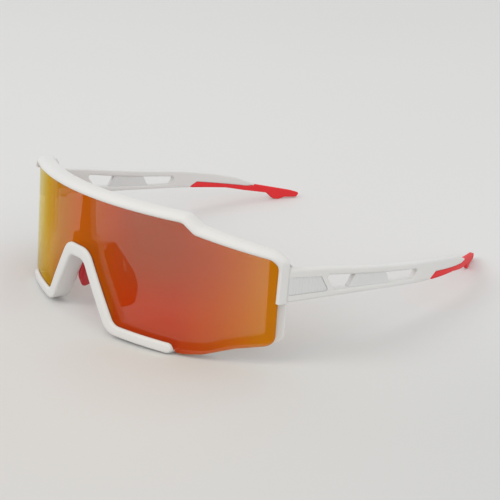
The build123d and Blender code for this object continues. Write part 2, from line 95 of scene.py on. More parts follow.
class GlassesSizes(bpy.types.PropertyGroup):
    """Sizes of the sunglasses, drawn upright before they lean back on their feet."""
    lens_radius: size("Lens radius", "Radius of the lens front face", 103.4)
    lens_thickness: size("Lens thickness", "Wall of the lens", 2.0)
    lens_half: size("Lens half width", "Half the chord at the side edges", 70.2)
    sight: size("Sight height", "Lower edge of the brow lip above the rim underside", 43.9)
    lean: FloatProperty(name="Lean", description="How far the front leans back",
                        default=math.radians(6.7), subtype="ANGLE")
    shoulder: size("Shoulder", "Where the top edge steps down", 44.0)
    shoulder_run: size("Shoulder run", "Width of the step", 3.8)
    shoulder_drop: size("Shoulder drop", "Height of the step", 3.1)
    side_drop: size("Side drop", "Fall of the top edge to the side corner", 7.4)
    lens_tuck: size("Lens tuck", "Lens hidden under the brow lip", 1.1)
    side_foot: size("Side foot", "Height of the lens's lower corner", 9.2)
    brow_height: size("Brow height", "Height of the brow bar", 2.6)
    brow_proud: size("Brow proud", "Brow in front of the lens", 1.5)
    brow_depth: size("Brow depth", "Brow behind the lens face", 4.4)
    end_width: size("End piece width", "Width of the end piece beside the lens", 3.3)
    end_foot: size("End piece foot", "Lower end of the end piece", 23.2)
    joint_y: size("Joint", "Rear face of the end piece", 31.0)
    arch_top: size("Arch top", "Top of the nose arch", 25.8)
    arch_foot: size("Arch foot", "Half width of the arch at its foot", 22.6)
    arch_width: size("Arch width", "Width of the arch band", 4.4)
    arch_depth: size("Arch depth", "Arch wall behind the lens face", 6.2)
    rim_height: size("Rim height", "Height of the lower rims", 3.5)
    rim_end: size("Rim end", "Where the lower rims end", 43.4)
    trim_proud: size("Trim proud", "Trim in front of the lens", 1.15)
    temple_thickness: size("Temple thickness", "Wall of the temples", 3.4)
    bend_start: size("Bend start", "Where the temple starts to curve inwards", 84.0)
    bend_radius: size("Bend radius", "Radius of the temple's curve", 105.0)
    temple_length: size("Temple length", "Joint to tip", 117.0)


class GlassesColours(bpy.types.PropertyGroup):
    """Colours of the finishes."""
    white: colour("White plastic", "Brow, rims and temples", (0.70, 0.696, 0.68))
    # Insert colour: a tone a little darker than the white plastic, painted shade of the recessed
    # panels and blocks.
    insert_shade: colour("Grey inserts", "Ribbed panels and infill blocks", (0.67, 0.675, 0.67))
    sleeve: colour("Sleeve red", "Rubber on the temples", (0.76, 0.030, 0.036))
    pad: colour("Pad red", "Rubber nose pads", (0.52, 0.016, 0.026))
    floor: colour("Floor", "Floor and backdrop", (0.695, 0.693, 0.682))
    mirror_red: colour("Mirror red", "Mirror coat before each eye", (0.76, 0.068, 0.006))
    mirror_end: colour("Mirror amber", "Mirror coat at the ends", (0.86, 0.29, 0.001))
    mirror_gold: colour("Mirror gold", "Mirror coat seen at a slant", (0.78, 0.38, 0.06))
    mirror_lime: colour("Mirror lime", "Mirror coat seen along its edge", (0.82, 0.84, 0.30))


def sizes():
    """All lengths in millimetres."""
    group = bpy.context.scene.glasses_sizes
    values = {key: getattr(group, key) * 1000 for key in GlassesSizes.__annotations__}
    values["lean"] = group.lean
    return values


# ---------------------------------------------------------------- placing

def seat(points):
    """Upright millimetres to the frame's metres: lean back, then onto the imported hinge."""
    s = sizes()
    c, n = math.cos(s["lean"]), math.sin(s["lean"])
    turn = np.array([[1, 0, 0], [0, c, n], [0, -n, c]])
    hinge = np.array([s["lens_half"] - HINGE_INSET, HINGE_DEPTH, HINGE_HEIGHT])
    shift = np.array(JOINTS["temple_left_fold"]["pos_m"]) - turn @ hinge / 1000
    return points @ turn.T / 1000 + shift


# ---------------------------------------------------------------- outlines

def unit(vector):
    """Vector of length one."""
    return vector / np.linalg.norm(vector)


def turned_by(vector, angle):
    """Flat vector turned by an angle."""
    c, n = math.cos(angle), math.sin(angle)
    return np.array([c * vector[0] - n * vector[1], n * vector[0] + c * vector[1]])


def turn_between(first, second):
    """Angle from one flat vector to another."""
    return math.atan2(first[0] * second[1] - first[1] * second[0], float(first @ second))


def corners(points, step=0.35):
    """Closed outline through (u, v, r) corners, rounded to r and sampled."""
    out = []
    n = len(points)
    for i in range(n):
        p = np.array(points[i][:2], float)
        a = unit(np.array(points[i - 1][:2], float) - p)
        b = unit(np.array(points[(i + 1) % n][:2], float) - p)
        r = points[i][2]
        half = math.acos(max(-1.0, min(1.0, float(a @ b)))) / 2
        if r <= 0 or half > math.pi / 2 - 0.01:
            out.append(p)
            continue
        reach = r / math.tan(half)
        centre = p + (a + b) / np.linalg.norm(a + b) * (r / math.sin(half))
        start, stop = p + a * reach - centre, p + b * reach - centre
        turn = turn_between(start, stop)
        count = max(3, int(abs(turn) * r / step))
        for k in range(count + 1):
            out.append(centre + turned_by(start, turn * k / count))
    keep = [out[0]]
    for p in out[1:]:
        if np.linalg.norm(p - keep[-1]) > 0.01:
            keep.append(p)
    return keep


def walk(line, counts):
    """Walks an open line of (u, v, r) corners, in fixed steps for each straight and corner."""
    points = [np.array(corner[:2], float) for corner in line]
    stretches = []
    here = points[0]
    for i in range(1, len(line) - 1):
        p, r = points[i], line[i][2]
        a, b = unit(points[i - 1] - p), unit(points[i + 1] - p)
        half = math.acos(float(a @ b)) / 2
        reach = r / math.tan(half)
        centre = p + (a + b) / np.linalg.norm(a + b) * (r / math.sin(half))
        start, stop = p + a * reach, p + b * reach
        stretches += [(here, None, start), (start, centre, stop)]
        here = stop
    stretches.append((here, None, points[-1]))
    out = []
    for (start, centre, stop), count in zip(stretches, counts):
        for k in range(count):
            t = k / count
            if centre is None:
                out.append(start + (stop - start) * t)
            else:
                arm = start - centre
                out.append(centre + turned_by(arm, turn_between(arm, stop - centre) * t))
    out.append(points[-1])
    return out


def mirrored(half):
    """Full outline from its right half, listed from top centre to bottom centre."""
    return half + [(-x, z, r) for x, z, r in reversed(half) if x > 0]


def top_edge(s, rise=0.0, grow=0.0):
    """Stepped top line from the centre to the side corner."""
    z = s["sight"] + rise
    return [
        (0, z, 0),
        (s["shoulder"] + rise * 0.35, z, 3.0),
        (s["shoulder"] + s["shoulder_run"] + rise * 0.35, z - s["shoulder_drop"], 3.0),
        (s["lens_half"] + grow, z - s["side_drop"], 3.5),
    ]


def leg(s, inset, z):
    """Half width of the nose arch at height z, inset from its lens side."""
    angle = math.radians(ARCH_SLOPE)
    return s["arch_foot"] - inset / math.cos(angle) - z * math.tan(angle)


def lens_outline(s):
    """Whole lens, with its nose cut-out and the relief for the rims."""
    low = s["rim_height"] - RIM_RELIEF
    roof = s["arch_top"] - RIM_RELIEF
    return corners(mirrored(top_edge(s, s["lens_tuck"]) + [
        (s["lens_half"] + 0.5, s["side_foot"], 3.5),
        (61.0, 6.2, 6.0), (52.5, 2.2, 6.0), (s["rim_end"] + 3.0, 0.8, 3.0),
        (s["rim_end"] + 0.4, 0.8, 0.0), (s["rim_end"] + 0.4, low, 0.0),
        (leg(s, RIM_RELIEF, low), low, 0.6), (leg(s, RIM_RELIEF, roof), roof, 4.5), (0, roof, 0),
    ]))


def rim_outline(s):
    """Outer boundary of the rim behind the lens."""
    relief = 1.85
    low = s["rim_height"] - RIM_RELIEF
    roof = s["arch_top"] - relief
    return corners(mirrored(top_edge(s, s["lens_tuck"], 2.0) + [
        (s["lens_half"] + 2.4, s["side_foot"] + 0.2, 4.0),
        (61.0, 6.6, 6.0), (52.5, 2.6, 6.0), (s["rim_end"] + 3.0, low, 3.0),
        (leg(s, relief, low), low, 0.6), (leg(s, relief, roof), roof, 4.5), (0, roof, 0),
    ]))


def eye_opening(s, sign):
    """Opening of the rim before one eye."""
    rim = 2.7
    over_leg = -0.7
    roof = s["sight"] - 0.8
    side = s["lens_half"] - rim
    floor = s["rim_height"] - RIM_RELIEF + rim
    points = [
        (2.1, roof, 2.0), (s["shoulder"], roof, 3.0),
        (s["shoulder"] + s["shoulder_run"], roof - s["shoulder_drop"], 3.0),
        (side, roof - s["side_drop"] + 1.6, 2.0), (side + 0.5, s["side_foot"] + rim, 1.4),
        (60.0, 8.9, 6.0), (51.5, 5.2, 6.0), (s["rim_end"], floor - 0.1, 3.0),
        (leg(s, over_leg, floor), floor, 2.0), (leg(s, over_leg, 23.6), 23.6, 1.0),
        (7.6, 28.6, 1.5), (4.0, 28.6, 1.5),
    ]
    return corners([(sign * x, z, r) for x, z, r in points])


def at(distance):
    """Distance along the side from the joint, as a depth."""
    return SIDE_START + distance


def sleeve_corners(s):
    """Rubber sleeve seen from the side."""
    tip, shoulder = s["temple_length"], s["temple_length"] - SLEEVE_RUN
    heel = shoulder + SLEEVE_RUN * 0.47
    # The heel stands as low as the front's feet do, once all leans back.
    front_foot = s["rim_end"] - 1.5
    back = s["lens_radius"] - math.sqrt((s["lens_radius"] - RIM_DEPTH) ** 2 - front_foot ** 2)
    low = ((at(heel) - back) * math.sin(s["lean"]) + 0.2) / math.cos(s["lean"])
    return [
        (at(67.0), 20.5, 0.4), (at(70.6), 22.85, 0.8), (at(shoulder - 4.0), 20.6, 3.0),
        (at(shoulder), 21.3, 1.5), (at(tip - 4.2), 19.1, 2.0), (at(tip - 0.8), 18.2, 0.75),
        (at(tip - 1.9), 16.2, 0.75), (at(heel + 3.0), 15.9, 2.0), (at(heel + 0.8), low, 1.2),
        (at(heel - 1.4), low + 0.2, 1.2), (at(heel - 4.0), 17.6, 2.0),
        (at(shoulder - 5.0), 18.6, 8.0), (at(85.0), 19.8, 20.0),
    ]


def temple_corners(s):
    """White part of a temple seen from the side, down to the sleeve."""
    shoulder = s["temple_length"] - SLEEVE_RUN
    top = [(15.0, 32.6), (29.0, 30.9), (45.0, 29.3), (64.0, 27.8), (77.0, 26.4),
           (shoulder - 9.0, 24.5)]
    return [(at(-1.3), 34.2, 0.8)] + [(at(d), z, 8.0) for d, z in top] + [
        (at(shoulder + 0.2), 21.25, 0.3), (at(shoulder - 4.0), 20.65, 3.0), (at(70.6), 22.9, 0.8),
        (at(66.9), 20.5, 0.3), (at(44.0), 21.5, 20.0), (at(-1.3), 23.6, 0.8),
    ]


# Side view of the temple's long window, of the block that splits it in two, and of the pocket.
OPENING = [(at(14.4), 30.3, 0.8), (at(28.3), 28.6, 5.0), (at(42.8), 27.1, 5.0), (at(59.2), 25.9, 0.8),
           (at(57.0), 22.9, 0.9), (at(45.3), 23.2, 5.0), (at(25.6), 24.4, 5.0), (at(18.7), 24.8, 0.9)]
BLOCK = [(at(28.3), 28.75, 0.3), (at(42.8), 27.25, 0.3),
         (at(45.3), 23.05, 0.3), (at(25.6), 24.25, 0.3)]
POCKET = [(at(-1.2), 31.8, 0.5), (at(12.2), 30.3, 0.6),
          (at(16.0), 24.9, 0.6), (at(-1.2), 25.8, 0.5)]


# ---------------------------------------------------------------- mesh work

def plate(loops, thickness, bevel, step=2.0, rings=3):
    """Flat plate in u, v, w with rounded edges, cut across every step so that it can bend."""
    curve = bpy.data.curves.new("plate", "CURVE")
    curve.dimensions = "2D"
    curve.fill_mode = "BOTH"
    curve.extrude = thickness / 2 - bevel
    curve.bevel_depth = bevel
    curve.bevel_resolution = rings
    curve.offset = -bevel
    for loop in loops:
        spline = curve.splines.new("POLY")
        spline.points.add(len(loop) - 1)
        for point, (u, v) in zip(spline.points, loop):
            point.co = (u, v, 0, 1)
        spline.use_cyclic_u = True
    holder = bpy.data.objects.new("plate", curve)
    mesh = bpy.data.meshes.new_from_object(holder)
    bpy.data.objects.remove(holder)
    bpy.data.curves.remove(curve)
    bm = bmesh.new()
    bm.from_mesh(mesh)
    bpy.data.meshes.remove(mesh)
    bmesh.ops.remove_doubles(bm, verts=bm.verts, dist=0.004)
    lows = min(v.co.x for v in bm.verts)
    highs = max(v.co.x for v in bm.verts)
    u = math.ceil(lows / step) * step
    while u < highs:
        geometry = bm.verts[:] + bm.edges[:] + bm.faces[:]
        bmesh.ops.bisect_plane(bm, geom=geometry, dist=0.002,
                               plane_co=(u, 0, 0), plane_no=(1, 0, 0))
        u += step
    bmesh.ops.recalc_face_normals(bm, faces=bm.faces)
    return bm


def bend(bm, rule=None, flip=False):
    """Moves every point by rule(array), if there is one, and seats it in the frame."""
    points = np.array([v.co[:] for v in bm.verts])
    placed = seat(rule(points) if rule else points)
    for vert, co in zip(bm.verts, placed):
        vert.co = co
    if flip:
        bmesh.ops.reverse_faces(bm, faces=bm.faces)
    return bm


def skin(bm, rings, closed=False):
    """Skins a row of rings, which closes on itself or has a cap at each end, and seats it."""
    following = rings[1:] + rings[:1] if closed else rings[1:]
    for low, high in zip(rings, following):
        for k in range(len(low)):
            after = (k + 1) % len(low)
            bm.faces.new((low[k], low[after], high[after], high[k]))
    if not closed:
        bm.faces.new(rings[0])
        bm.faces.new(list(reversed(rings[-1])))
    bmesh.ops.recalc_face_normals(bm, faces=bm.faces)
    return bend(bm)


def on_floor(bm):
    """Flattens what would pass through the floor."""
    for v in bm.verts:
        v.co.z = max(v.co.z, 0.0)
    return bm


def join(parts):
    """One mesh from several."""
    whole = bmesh.new()
    for bm in parts:
        mesh = bpy.data.meshes.new("part")
        bm.to_mesh(mesh)
        bm.free()
        whole.from_mesh(mesh)
        bpy.data.meshes.remove(mesh)
    return whole


def smooth(mesh, angle=32.0):
    """Smooth shading, apart from edges sharper than an angle in degrees."""
    mesh.polygons.foreach_set("use_smooth", [True] * len(mesh.polygons))
    mesh.set_sharp_from_angle(angle=math.radians(angle))


def finish(name, bm, material, angle=32.0):
    """Object from a mesh, smooth apart from its real edges."""
    mesh = bpy.data.meshes.new(name)
    bm.to_mesh(mesh)
    bm.free()
    smooth(mesh, angle)
    mesh.materials.append(material)
    piece = bpy.data.objects.new(name, mesh)
    bpy.context.scene.collection.objects.link(piece)
    return piece


def stand_for(piece, node):
    """Hangs a piece on the body of the node that it stands for, and hides that node."""
    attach(piece, BODY_OF[node])
    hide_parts(node)


def around(s, x, r, start=40.0, run=18.0):
    """Place at radius r for the lens face point x, square to the lens towards the sides."""
    part = np.clip((np.abs(x) - start) / run, 0.0, 1.0)
    part = part * part * (3 - 2 * part)
    moved = x * (1 + part * (r / s["lens_radius"] - 1))
    return moved, s["lens_radius"] - np.sqrt(np.maximum(r ** 2 - moved ** 2, 1.0))


def on_lens(s, middle):
    """Rule that lays a plate on an upright tube about the lens axis."""
    def rule(points):
        x, y = around(s, points[:, 0], middle + points[:, 2])
        return np.column_stack([x, y, points[:, 1]])
    return rule


def temple_x(s, y, offset):
    """Side position of a temple at depth y and offset inwards from its outer face."""
    inset, curve = 0.9, 28.0
    centre = s["lens_half"] + s["end_width"] - inset - s["bend_radius"]
    r = s["bend_radius"] - offset
    a = math.radians(curve)
    end_y = s["bend_start"] + r * math.sin(a)
    run = np.clip(y - s["bend_start"], 0, None)
    arc = centre + np.sqrt(np.maximum(r ** 2 - np.minimum(run, r * math.sin(a)) ** 2, 0))
    return arc - np.clip(y - end_y, 0, None) * math.tan(a)


def on_temple(s, middle, sign, taper=0.0):
    """Rule that lays a side-view plate on a temple's curve, thinner towards the tip by a share."""
    taper_start, taper_run = at(20.0), 90.0

    def rule(points):
        y, z = points[:, 0], points[:, 1]
        thin = 1 - taper * np.clip((y - taper_start) / taper_run, 0.0, 1.0)
        x = temple_x(s, y, middle - points[:, 2] * thin)
        return np.column_stack([sign * x, y, z])
    return rule


def cut(piece, bm):
    """Cuts a seated solid out of a piece."""
    mesh = bpy.data.meshes.new("cutter")
    bm.to_mesh(mesh)
    bm.free()
    tool = bpy.data.objects.new("cutter", mesh)
    bpy.context.scene.collection.objects.link(tool)
    step = piece.modifiers.new("cut", "BOOLEAN")
    step.object = tool
    step.solver = "EXACT"
    graph = bpy.context.evaluated_depsgraph_get()
    shaped = bpy.data.meshes.new_from_object(piece.evaluated_get(graph))
    old = piece.data
    piece.modifiers.clear()
    piece.data = shaped
    bpy.data.meshes.remove(old)
    bpy.data.objects.remove(tool)
    smooth(shaped)


def turned(centre, profile, segments=40):
    """Upright turned part from (radius, height) pairs, in seated metres."""
    bm = bmesh.new()
    rings = []
    for r, z in profile:
        ring = []
        for k in range(segments):
            a = 2 * math.pi * k / segments
            ring.append(bm.verts.new((centre[0] + r * math.cos(a), centre[1] + r * math.sin(a), z)))
        rings.append(ring)
    return skin(bm, rings, closed=True)


def block(lows, highs, bevel):
    """Box with rounded edges, in seated metres."""
    bm = bmesh.new()
    bmesh.ops.create_cube(bm, size=1.0)
    for v in bm.verts:
        for i in range(3):
            v.co[i] = lows[i] + (v.co[i] + 0.5) * (highs[i] - lows[i])
    bmesh.ops.bevel(bm, geom=bm.edges[:], offset=bevel, segments=3, profile=0.5, affect="EDGES")
    return bend(bm)


def knuckle(s, sign, z0, z1):
    """Turned hinge knuckle with its bore."""
    r, bore, b = KNUCKLE_RADIUS, KNUCKLE_BORE, KNUCKLE_EDGE
    centre = (sign * (s["lens_half"] - HINGE_INSET), HINGE_DEPTH)
    return turned(centre, [
        (bore, z0 + b), (bore + b, z0), (r - b, z0), (r, z0 + b),
        (r, z1 - b), (r - b, z1), (bore + b, z1), (bore, z1 - b)])


# ---------------------------------------------------------------- materials

def material(name):
    """New material with its nodes, links and main shader."""
    mat = bpy.data.materials.new(name)
    mat.use_nodes = True
    nodes, links = mat.node_tree.nodes, mat.node_tree.links
    return mat, nodes, links, nodes["Principled BSDF"]


def coordinates(nodes, links, scale):
    """Object-space coordinates scaled for a fine pattern."""
    where = nodes.new("ShaderNodeTexCoord")
    fit = nodes.new("ShaderNodeMapping")
    fit.inputs["Scale"].default_value = scale
    links.new(where.outputs["Object"], fit.inputs["Vector"])
    return fit


def noise(nodes, links, source, scale, detail=3.0):
    """Noise pattern in the given coordinates."""
    grain = nodes.new("ShaderNodeTexNoise")
    grain.inputs["Scale"].default_value = scale
    grain.inputs["Detail"].default_value = detail
    links.new(source.outputs["Vector"], grain.inputs["Vector"])
    return grain


def ramp(nodes, links, value, stops):
    """Colour ramp fed by a value."""
    band = nodes.new("ShaderNodeValToRGB")
    elements = band.color_ramp.elements
    elements[0].position, elements[0].color = stops[0][0], (*stops[0][1], 1)
    elements[1].position, elements[1].color = stops[-1][0], (*stops[-1][1], 1)
    for place, tone in stops[1:-1]:
        element = elements.new(place)
        element.color = (*tone, 1)
    links.new(value, band.inputs["Fac"])
    return band


def shade(tone, factor):
    """Colour made darker or lighter."""
    return tuple(min(1.0, c * factor) for c in tone)


def spread(nodes, links, value, low, high):
    """Value from 0 to 1 carried to a range."""
    step = nodes.new("ShaderNodeMapRange")
    step.inputs["To Min"].default_value = low
    step.inputs["To Max"].default_value = high
    links.new(value, step.inputs["Value"])
    return step.outputs["Result"]


def span(nodes, links, value, low, high):
    """Soft step of a value between two limits."""
    step = nodes.new("ShaderNodeMapRange")
    step.interpolation_type = "SMOOTHSTEP"
    step.inputs["From Min"].default_value = low
    step.inputs["From Max"].default_value = high
    links.new(value, step.inputs["Value"])
    return step.outputs["Result"]


def reckon(nodes, links, operation, *values):
    """Math on values, each a socket or a number."""
    node = nodes.new("ShaderNodeMath")
    node.operation = operation
    for socket, value in zip(node.inputs, values):
        if isinstance(value, bpy.types.NodeSocket):
            links.new(value, socket)
        else:
            socket.default_value = value
    return node.outputs[0]


def blend(nodes, links, factor, first, second):
    """Mix of two colours, each a socket or a tone."""
    mix = nodes.new("ShaderNodeMix")
    mix.data_type = "RGBA"
    links.new(factor, mix.inputs["Factor"])
    colour_inputs, colour_output = mix.inputs[6:8], mix.outputs[2]
    for socket, tone in zip(colour_inputs, (first, second)):
        if isinstance(tone, tuple):
            socket.default_value = (*tone, 1)
        else:
            links.new(tone, socket)
    return colour_output


def between_tones(first, second, share):
    """Tone a share of the way from the first to the second."""
    return tuple(a * (1 - share) + b * share for a, b in zip(first, second))


def surface(name, tone, roughness, grain, depth, vary, specular=0.5):
    """Moulded or rubber finish: slight tone variation, roughness variation and fine grain."""
    mat, nodes, links, main = material(name)
    place = coordinates(nodes, links, (1, 1, 1))
    broad = noise(nodes, links, place, 45.0, 2.0)
    fine = noise(nodes, links, place, grain, 4.0)
    tint = ramp(nodes, links, broad.outputs["Fac"],
                [(0.3, shade(tone, 1 - vary)), (0.7, shade(tone, 1 + vary))])
    links.new(tint.outputs["Color"], main.inputs["Base Color"])
    gloss = spread(nodes, links, fine.outputs["Fac"], roughness - 0.06, roughness + 0.06)
    links.new(gloss, main.inputs["Roughness"])
    bump = nodes.new("ShaderNodeBump")
    bump.inputs["Strength"].default_value = 0.35
    bump.inputs["Distance"].default_value = depth
    links.new(fine.outputs["Fac"], bump.inputs["Height"])
    links.new(bump.outputs["Normal"], main.inputs["Normal"])
    main.inputs["Specular IOR Level"].default_value = specular
    return mat


def steel(name):
    """Turned steel: fine rings of brushing and uneven roughness."""
    mat, nodes, links, main = material(name)
    place = coordinates(nodes, links, (400, 400, 9000))
    lines = noise(nodes, links, place, 3.0, 4.0)
    tint = ramp(nodes, links, lines.outputs["Fac"],
                [(0.2, (0.50, 0.50, 0.51)), (0.8, (0.70, 0.70, 0.71))])
    links.new(tint.outputs["Color"], main.inputs["Base Color"])
    main.inputs["Metallic"].default_value = 1.0
    links.new(spread(nodes, links, lines.outputs["Fac"], 0.22, 0.42), main.inputs["Roughness"])
    return mat


def mirror_coat(colours, s):
    """Tinted lens under a mirror coat: red before the eyes, amber at the ends, lime at a slant."""
    mat, nodes, links, main = material("mirror_lens")
    red, amber = tuple(colours.mirror_red), tuple(colours.mirror_end)
    gold, lime = tuple(colours.mirror_gold), tuple(colours.mirror_lime)
    where = nodes.new("ShaderNodeTexCoord")
    split = nodes.new("ShaderNodeSeparateXYZ")
    links.new(where.outputs["Object"], split.inputs["Vector"])
    side = reckon(nodes, links, "ABSOLUTE", split.outputs["X"])
    reach = reckon(nodes, links, "DIVIDE", side, s["lens_half"] / 1000)
    # Across the lens.
    warm, orange = between_tones(red, amber, 0.3), between_tones(red, amber, 0.62)
    coat = ramp(nodes, links, reach, [(0.0, red), (0.62, red), (0.78, warm), (0.88, orange),
                                      (0.96, amber), (1.0, amber)])
    # Painted light: a mauve haze high up before each eye, standing in for the brighter room seen
    # through the lens and partly mirrored in it.
    high = span(nodes, links, split.outputs["Z"], 0.010, 0.034)
    wide = span(nodes, links, reach, 0.08, 0.42)
    narrow = span(nodes, links, reach, 0.98, 0.5)
    middle = reckon(nodes, links, "MULTIPLY", wide, narrow)
    painted_haze = reckon(nodes, links, "MULTIPLY", middle, high)
    mauve = (red[0] * 0.78, red[1] * 1.6, 0.03)
    tone = blend(nodes, links, painted_haze, coat.outputs["Color"], mauve)
    # Bands that follow the slant at which the coat is seen.
    slant = nodes.new("ShaderNodeLayerWeight")
    slant.inputs["Blend"].default_value = 0.5
    facing = slant.outputs["Facing"]
    burnt = (red[0] * 0.88, 0.13, 0.006)
    bands = ramp(nodes, links, facing, [
        (0.36, burnt), (0.5, shade(burnt, 1.1)), (0.62, (0.66, 0.20, 0.035)),
        (0.74, gold), (0.84, between_tones(gold, lime, 0.5)), (0.96, lime)])
    slanted = span(nodes, links, facing, 0.28, 0.44)
    turned_tone = blend(nodes, links, slanted, tone, bands.outputs["Color"])
    links.new(turned_tone, main.inputs["Base Color"])
    main.inputs["Metallic"].default_value = 1.0
    main.inputs["Roughness"].default_value = 0.07
    main.inputs["Specular Tint"].default_value = (1.0, 0.88, 0.35, 1)
    main.inputs["Alpha"].default_value = 0.685
    return mat


MATERIALS = {}


def finish_of(name):
    """Shared materials, made once."""
    tones = bpy.context.scene.glasses_colours
    if name in MATERIALS:
        return MATERIALS[name]
    if name == "white":
        made = surface("white_plastic", tuple(tones.white),
                       roughness=0.36, grain=2600.0, depth=0.00003, vary=0.012)
    elif name == "insert_shade":
        # Painted shade: the recessed panels and blocks take a tone a little darker than the white
        # plastic.
        made = surface("insert_shaded_white", tuple(tones.insert_shade),
                       roughness=0.5, grain=3500.0, depth=0.00005, vary=0.02)
    elif name == "sleeve":
        made = surface("sleeve_rubber", tuple(tones.sleeve),
                       roughness=0.55, grain=3000.0, depth=0.00006, vary=0.05, specular=0.25)
    elif name == "pad":
        made = surface("pad_rubber", tuple(tones.pad),
                       roughness=0.42, grain=2500.0, depth=0.00004, vary=0.05, specular=0.35)
    elif name == "steel":
        made = steel("turned_steel")
    else:
        made = mirror_coat(tones, sizes())
    MATERIALS[name] = made
    return made


# ---------------------------------------------------------------- operators

class MakeLens(bpy.types.Operator):
    """Make the one-piece mirrored lens"""
    bl_idname = "glasses.make_lens"
    bl_label = "Lens"

    def execute(self, context):
        s = sizes()
        bm = plate([lens_outline(s)], s["lens_thickness"], bevel=0.22, step=1.0)
        bend(bm, on_lens(s, s["lens_radius"] - s["lens_thickness"] / 2))
        lens = finish("mirror_lens", bm, finish_of("mirror"), 40.0)
        stand_for(lens, "lens")
        return {"FINISHED"}


def brow_lines(s):
    """Matching samples of the brow's lip and outer edge, and how far round the side each lies."""
    end = s["lens_half"] + s["end_width"]
    top = s["sight"] + s["brow_height"]
    lip = top_edge(s, 0.0, -0.12) + [(s["lens_half"] - 0.15, s["end_foot"], 0.0)]
    rim = [(0, top, 0), (s["shoulder"] + 0.6, top, 3.5),
           (s["shoulder"] + s["shoulder_run"] + 1.3, top - s["shoulder_drop"], 5.0),
           (end, top - s["side_drop"] - 1.0, 6.5), (end, s["end_foot"], 0.0)]
    total = sum(BROW_STEPS)
    last, fade = 17, 6.0
    side = [min(1.0, max(0.0, (k - (total - last)) / fade)) for k in range(total + 1)]
    return walk(lip, BROW_STEPS), walk(rim, BROW_STEPS), side


def brow_section(s, side):
    """Section of the brow: share of the height, and distance in front of the lens face."""
    proud = s["brow_proud"]
    front = 1 - side
    tuck = 0.46 * front
    slot = -s["lens_thickness"] - 0.1
    back = -s["brow_depth"] - 3.6 * side
    return [
        (0.0, 0.10), (0.0, proud * 0.50), (0.03, proud * 0.66), (0.12, proud * 0.90),
        (0.22, proud * 0.98), (0.34, proud), (0.50, proud * 0.92), (0.64, proud * 0.74),
        (0.77, proud * 0.44), (0.88, proud * 0.04), (0.95, -0.45), (0.99, -1.0), (1.0, -1.6),
        (1.0, back + 0.7), (0.98, back + 0.3), (0.90, back), (0.30 * front + 0.02, back),
        (-0.20 * front + 0.02, back + 0.2), (-0.25 * front, back + 0.6), (-0.25 * front, slot),
        (tuck, slot), (tuck, 0.10),
    ]


def brow_mesh(s):
    """Brow bar swept from one end piece's foot to the other's."""
    first, second, side = brow_lines(s)
    path = [(-1, i) for i in range(len(first) - 1, 0, -1)] + [(1, i) for i in range(len(first))]
    widest = s["lens_half"] + s["end_width"] - 1.5
    rear = s["joint_y"] - 1.1
    bm = bmesh.new()
    rings = []
    for sign, i in path:
        ring = []
        for share, front in brow_section(s, side[i]):
            x, z = first[i] + (second[i] - first[i]) * share
            x, y = around(s, sign * x, s["lens_radius"] + front, start=4.0, run=26.0)
            x = max(-widest, min(widest, float(x)))
            ring.append(bm.verts.new((x, min(float(y), rear), z)))
        rings.append(ring)
    return skin(bm, rings)


class MakeFront(bpy.types.Operator):
    """Make the white front: brow, end pieces, rim behind the lens and hinge knuckles"""
    bl_idname = "glasses.make_front"
    bl_label = "Front frame"

    def execute(self, context):
        s = sizes()
        gap, thick = 0.08, 2.4
        back = s["lens_radius"] - s["lens_thickness"] - gap
        loops = [rim_outline(s), eye_opening(s, 1), eye_opening(s, -1)]
        rim = bend(plate(loops, thick, bevel=0.4), on_lens(s, back - thick / 2))
        parts = [brow_mesh(s), rim]
        for _, sign in SIDES:
            parts.append(self.hinge_block(s, sign, back))
            x = sign * (s["lens_half"] - HINGE_INSET)
            ends = sorted((x - sign * KNUCKLE_RADIUS, x + sign * 1.0))
            for low in FIXED_KNUCKLES:
                high = low + FIXED_KNUCKLE_HEIGHT
                parts.append(knuckle(s, sign, low, high))
                parts.append(block((ends[0], s["joint_y"] - 2.0, low), (ends[1], 33.2, high), 0.25))
        front = finish("front_frame", join(parts), finish_of("white"))
        stand_for(front, "main_frame")
        return {"FINISHED"}

    @staticmethod
    def hinge_block(s, sign, back):
        """Solid between the lens edge and the joint, which carries the knuckles."""
        inner, outer = s["lens_half"] - 2.7, s["lens_half"] + s["end_width"] - 1.55
        low, top = s["end_foot"] + 0.1, s["sight"] - s["side_drop"] - 2.9
        rear = s["joint_y"] - 1.15

        def rule(points):
            x, z, w = points[:, 0], points[:, 1], points[:, 2] + 0.5
            reach = np.minimum(np.abs(x), s["lens_half"] + 0.2)
            face = s["lens_radius"] - np.sqrt(back ** 2 - reach ** 2)
            return np.column_stack([x, face + (rear - face) * w, z])
        left, right = sorted((sign * inner, sign * outer))
        outline = [(left, low), (right, low), (right, top), (left, top)]
        return bend(plate([outline], 1.0, bevel=0.05, step=0.7, rings=1), rule)


